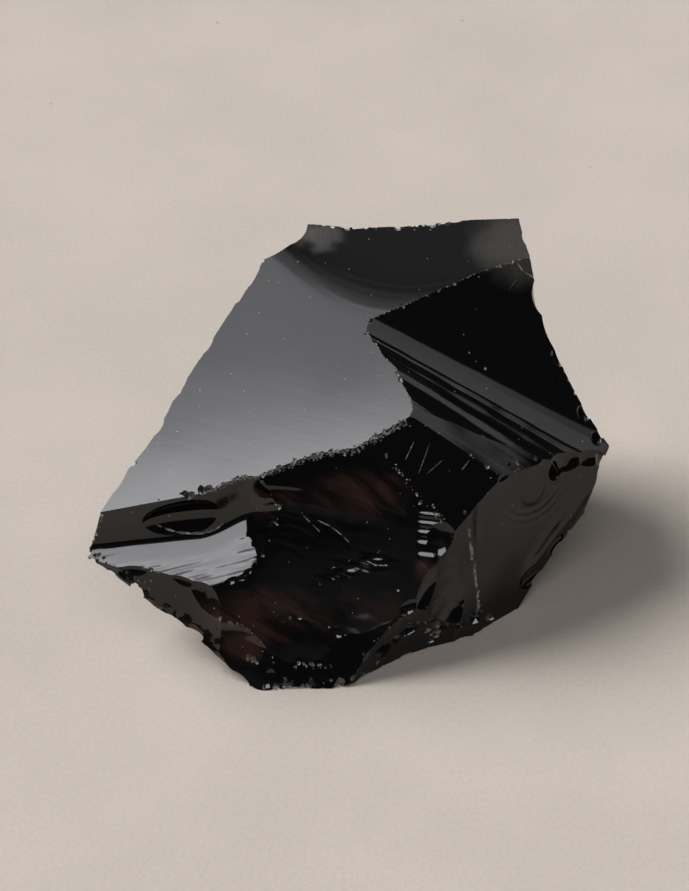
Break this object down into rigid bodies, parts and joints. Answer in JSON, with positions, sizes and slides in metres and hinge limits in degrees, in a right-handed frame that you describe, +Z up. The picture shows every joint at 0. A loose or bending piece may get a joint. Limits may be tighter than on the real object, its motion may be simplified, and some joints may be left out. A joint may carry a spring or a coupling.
{
  "type": "obsidian chunk",
  "caption": "Raw chunk of black volcanic glass with a broad sloping top face, curved flake scars all round and a flat underside that it rests on.",
  "frame": {"origin": "middle of the outline's bounding box, on the surface that the stone rests on", "axes": "+X along the longest side, toward the fluted end; +Y from the hollowed front to the high back edge; +Z up"},
  "size_m": [0.0776, 0.0632, 0.0409],
  "materials": {
    "volcanic_glass": "polished"
  },
  "bodies": {
    "root": {"obsidian_chunk": "volcanic_glass"}
  },
  "joints": []
}
